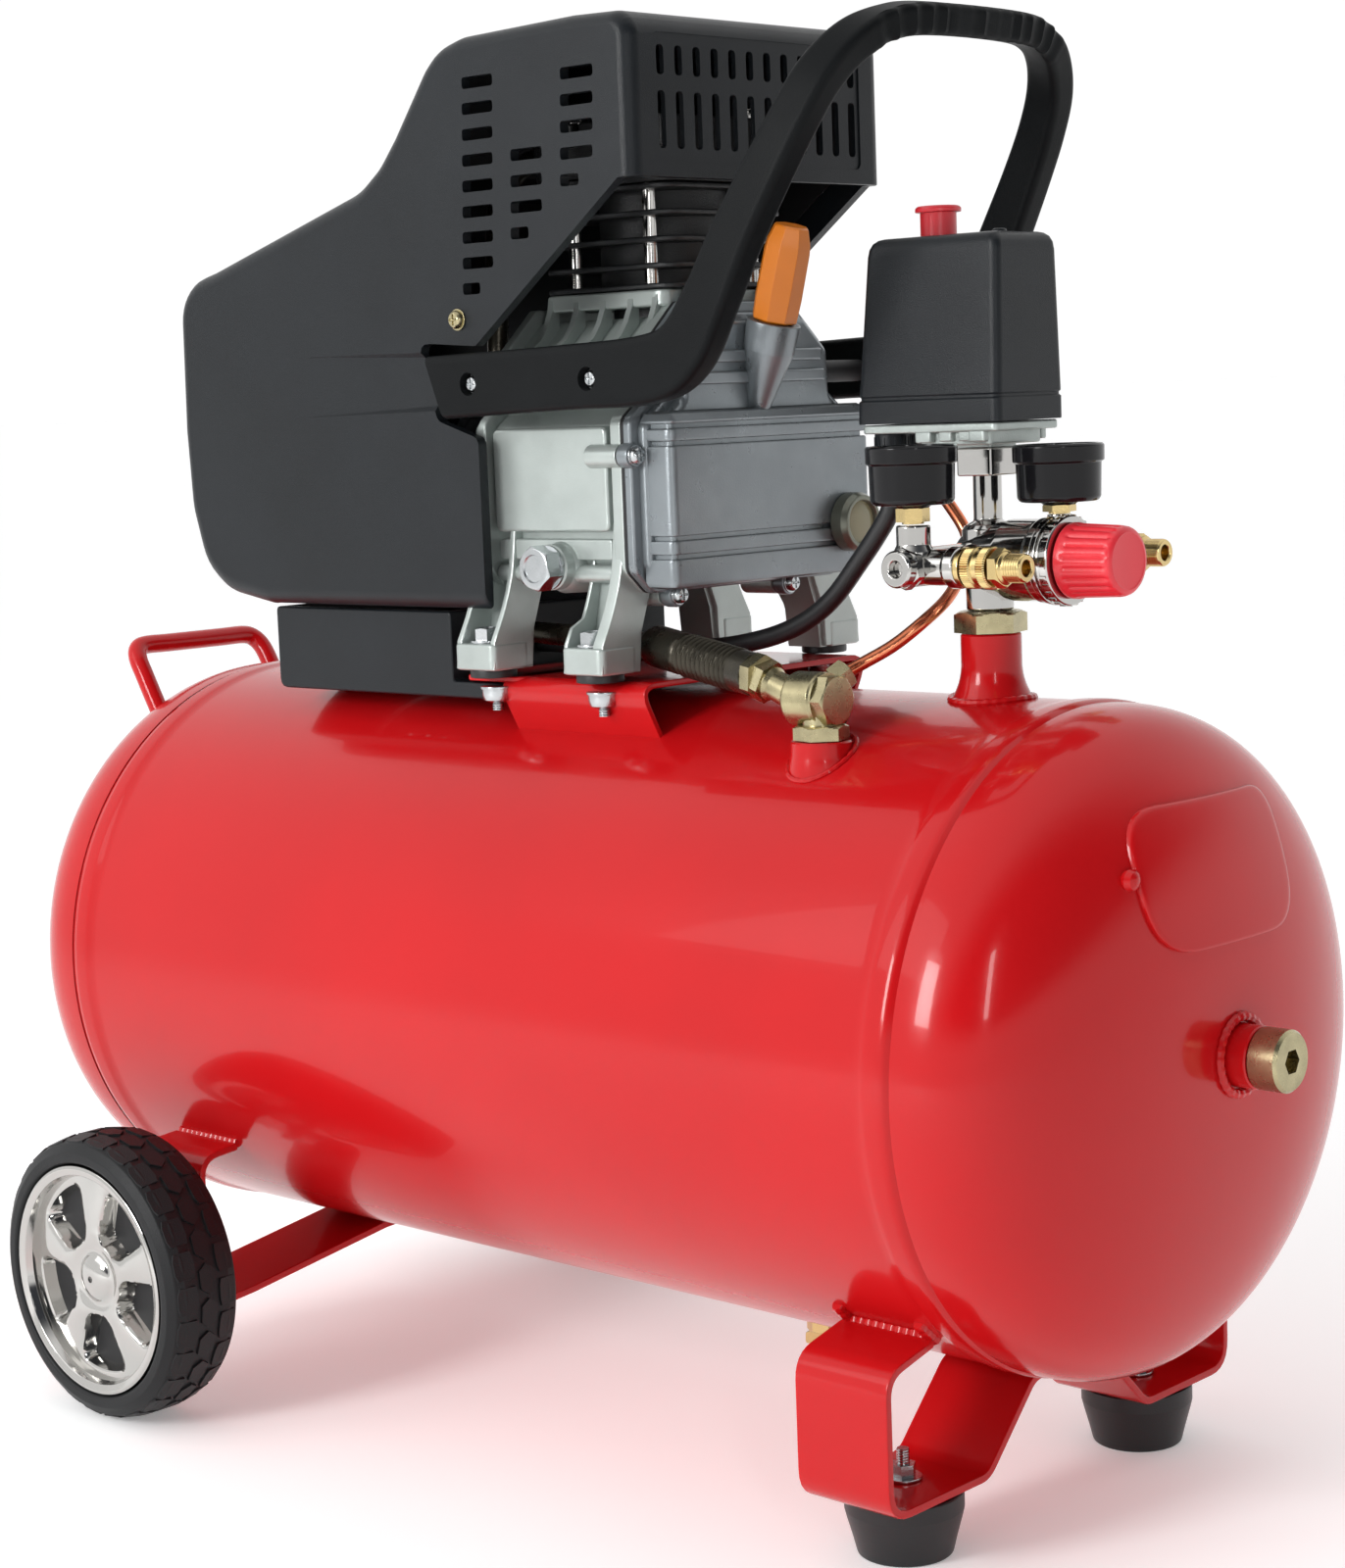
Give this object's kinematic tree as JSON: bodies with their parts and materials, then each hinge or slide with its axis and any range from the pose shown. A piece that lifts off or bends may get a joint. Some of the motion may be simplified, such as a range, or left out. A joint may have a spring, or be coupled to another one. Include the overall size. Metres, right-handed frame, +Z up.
{
  "type": "air compressor",
  "caption": "Wheeled piston air compressor: a lying red tank under a shrouded oil-lubricated pump, with regulator, gauges, air outlets and a carry handle.",
  "frame": {"origin": "on the floor, below the middle of the overall box; the tank axis is 222.3 mm above it", "axes": "+X along the tank to the end with the rubber feet and the outlets, -Y to the front, +Z up"},
  "size_m": [0.7424, 0.4184, 0.6908],
  "materials": {
    "red_paint": "gloss",
    "black_plastic": "satin",
    "cast_aluminium": "cast, matt",
    "black_iron": "black, satin",
    "bronze_tube": "dark bronze, satin",
    "chrome": "polished",
    "brass": "polished",
    "yellow_zinc": "yellow zinc",
    "zinc": "zinc plated",
    "steel": "machined",
    "copper": "bare copper",
    "tyre_rubber": "matt",
    "black_rubber": "matt",
    "red_plastic": "satin",
    "orange_plastic": "satin",
    "clear_glass": "clear"
  },
  "bodies": {
    "frame": {"tank_shell": "red_paint", "tank_head_left": "red_paint", "tank_head_right": "red_paint", "data_plate": "red_paint", "outlet_riser": "red_paint", "front_foot_strap": "red_paint", "wheel_strap": "red_paint", "tow_handle": "red_paint", "motor_plate": "red_paint", "shroud": "black_plastic", "lower_housing": "black_plastic", "carry_handle": "black_plastic", "intake_filter": "black_plastic", "gauge_left": "black_plastic", "gauge_right": "black_plastic", "switch_cover": "black_plastic", "crankcase": "cast_aluminium", "crankcase_cover": "cast_aluminium", "cylinder_head": "cast_aluminium", "switch_base": "cast_aluminium", "cylinder": "black_iron", "discharge_pipe": "bronze_tube", "manifold": "chrome", "regulator_bonnet": "chrome", "outlet_left": "brass", "outlet_right": "brass", "safety_valve": "brass", "check_valve": "yellow_zinc", "riser_nut": "yellow_zinc", "end_plug": "zinc", "axle_bolt_left": "zinc", "axle_bolt_right": "zinc", "oil_drain_bolt": "zinc", "head_stud_1": "zinc", "head_stud_2": "zinc", "head_stud_3": "zinc", "head_stud_4": "zinc", "valve_plate": "steel", "motor_stator": "steel", "unloader_tube": "copper", "foot_left": "black_rubber", "foot_right": "black_rubber", "motor_cable": "black_rubber", "sight_glass": "clear_glass"},
    "wheel_left": {"tyre_left": "tyre_rubber", "hub_left": "chrome"},
    "wheel_right": {"tyre_right": "tyre_rubber", "hub_right": "chrome"},
    "crank": {"crankshaft": "steel", "rotor": "steel", "cooling_fan": "black_plastic"},
    "piston": {"piston": "cast_aluminium", "connecting_rod": "steel"},
    "knob": {"regulator_knob": "red_plastic"},
    "button": {"switch_button": "red_plastic"},
    "tap_left": {"outlet_sleeve_left": "brass"},
    "tap_right": {"outlet_sleeve_right": "brass"},
    "drain": {"drain_valve": "brass"},
    "filler_cap": {"oil_filler_cap": "orange_plastic"}
  },
  "joints": [
    {"name": "wheel_left_spin", "type": "hinge", "parent": "frame", "child": "wheel_left", "pos_m": [-0.2186, -0.1876, 0.075], "axis": [0, 1, 0], "continuous": true},
    {"name": "wheel_right_spin", "type": "hinge", "parent": "frame", "child": "wheel_right", "pos_m": [-0.2186, 0.1876, 0.075], "axis": [0, 1, 0], "continuous": true},
    {"name": "crank_spin", "type": "hinge", "parent": "frame", "child": "crank", "pos_m": [-0.01, 0, 0.4723], "axis": [1, 0, 0], "continuous": true},
    {"name": "piston_slide", "type": "slide", "parent": "frame", "child": "piston", "axis": [0, 0, 1], "range_m": [-0.04, 0]},
    {"name": "regulator_turn", "type": "hinge", "parent": "frame", "child": "knob", "pos_m": [0.275, 0, 0.4373], "axis": [1, 0, 0], "range_deg": [-180, 180]},
    {"name": "switch_push", "type": "slide", "parent": "frame", "child": "button", "axis": [0, 0, 1], "range_m": [-0.006, 0]},
    {"name": "tap_left_turn", "type": "hinge", "parent": "frame", "child": "tap_left", "pos_m": [0.25, -0.05, 0.4373], "axis": [1, 0, 0], "range_deg": [0, 180]},
    {"name": "tap_right_turn", "type": "hinge", "parent": "frame", "child": "tap_right", "pos_m": [0.25, 0.055, 0.4373], "axis": [1, 0, 0], "range_deg": [0, 180]},
    {"name": "drain_turn", "type": "hinge", "parent": "frame", "child": "drain", "pos_m": [0.102, 0, 0.0603], "axis": [0, 0, 1], "range_deg": [0, 90]},
    {"name": "filler_cap_pull", "type": "slide", "parent": "frame", "child": "filler_cap", "axis": [0.286, 0, 0.9582], "range_m": [0, 0.025]}
  ]
}
